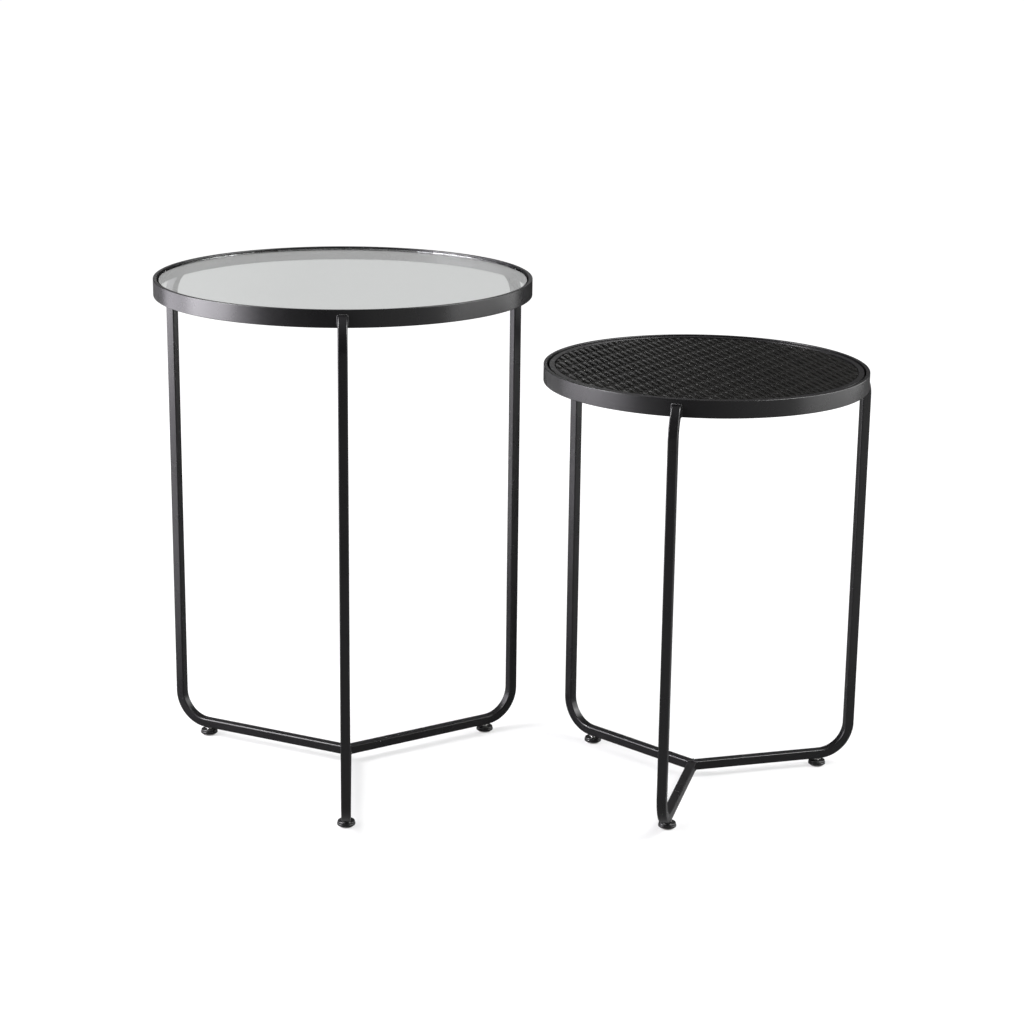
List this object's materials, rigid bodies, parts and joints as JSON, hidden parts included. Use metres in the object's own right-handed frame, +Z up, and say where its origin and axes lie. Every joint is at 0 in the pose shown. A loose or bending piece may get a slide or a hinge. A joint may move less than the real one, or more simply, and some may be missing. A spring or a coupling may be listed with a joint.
{
  "type": "nesting tables",
  "caption": "Round nesting side tables on bent square-tube legs with Y bases: a taller one with an inset clear glass top, a lower one with an inset woven top.",
  "frame": {"origin": "on the floor, under the middle of the pair's bounding box", "axes": "+X from the taller glass table towards the lower woven one, +Y away from the front legs towards the back, +Z up"},
  "size_m": [0.7702, 0.4242, 0.549],
  "materials": {
    "powder_coat": "satin black powder coat over steel",
    "clear_glass": "clear toughened glass with a slight grey-green cast",
    "black_rubber": "black silicone strip",
    "black_weave": "dense plaited black cane-look strand",
    "black_board": "black-painted board",
    "black_moulding": "satin moulded black plastic",
    "plated_steel": "bright zinc-plated thread",
    "white_pad": "milky non-slip pad"
  },
  "bodies": {
    "large_frame": {"large_rim": "powder_coat", "large_ledge": "powder_coat", "large_gasket": "black_rubber", "large_leg_front": "powder_coat", "large_leg_right": "powder_coat", "large_leg_left": "powder_coat", "large_insert_front": "plated_steel", "large_insert_right": "plated_steel", "large_insert_left": "plated_steel"},
    "glass": {"glass_top": "clear_glass"},
    "large_glide_front": {"large_stem_front": "plated_steel", "large_foot_front": "black_moulding", "large_pad_front": "white_pad"},
    "large_glide_right": {"large_stem_right": "plated_steel", "large_foot_right": "black_moulding", "large_pad_right": "white_pad"},
    "large_glide_left": {"large_stem_left": "plated_steel", "large_foot_left": "black_moulding", "large_pad_left": "white_pad"},
    "small_frame": {"small_rim": "powder_coat", "small_ledge": "powder_coat", "small_gasket": "black_rubber", "small_leg_front": "powder_coat", "small_leg_right": "powder_coat", "small_leg_left": "powder_coat", "small_insert_front": "plated_steel", "small_insert_right": "plated_steel", "small_insert_left": "plated_steel"},
    "tray": {"tray_ring": "powder_coat", "tray_board": "black_board", "woven_panel": "black_weave"},
    "small_glide_front": {"small_stem_front": "plated_steel", "small_foot_front": "black_moulding", "small_pad_front": "white_pad"},
    "small_glide_right": {"small_stem_right": "plated_steel", "small_foot_right": "black_moulding", "small_pad_right": "white_pad"},
    "small_glide_left": {"small_stem_left": "plated_steel", "small_foot_left": "black_moulding", "small_pad_left": "white_pad"}
  },
  "joints": [
    {"name": "nest_slide", "type": "slide", "parent": "large_frame", "child": "small_frame", "axis": [-0.9272, -0.3746, 0], "range_m": [0, 0.22]},
    {"name": "glass_lift", "type": "slide", "parent": "large_frame", "child": "glass", "axis": [0, 0, 1], "range_m": [0, 0.05]},
    {"name": "tray_lift", "type": "slide", "parent": "small_frame", "child": "tray", "axis": [0, 0, 1], "range_m": [0, 0.04]},
    {"name": "large_glide_front_screw", "type": "slide", "parent": "large_frame", "child": "large_glide_front", "axis": [0, 0, -1], "range_m": [0, 0.006]},
    {"name": "large_glide_right_screw", "type": "slide", "parent": "large_frame", "child": "large_glide_right", "axis": [0, 0, -1], "range_m": [0, 0.006]},
    {"name": "large_glide_left_screw", "type": "slide", "parent": "large_frame", "child": "large_glide_left", "axis": [0, 0, -1], "range_m": [0, 0.006]},
    {"name": "small_glide_front_screw", "type": "slide", "parent": "small_frame", "child": "small_glide_front", "axis": [0, 0, -1], "range_m": [0, 0.006]},
    {"name": "small_glide_right_screw", "type": "slide", "parent": "small_frame", "child": "small_glide_right", "axis": [0, 0, -1], "range_m": [0, 0.006]},
    {"name": "small_glide_left_screw", "type": "slide", "parent": "small_frame", "child": "small_glide_left", "axis": [0, 0, -1], "range_m": [0, 0.006]}
  ]
}
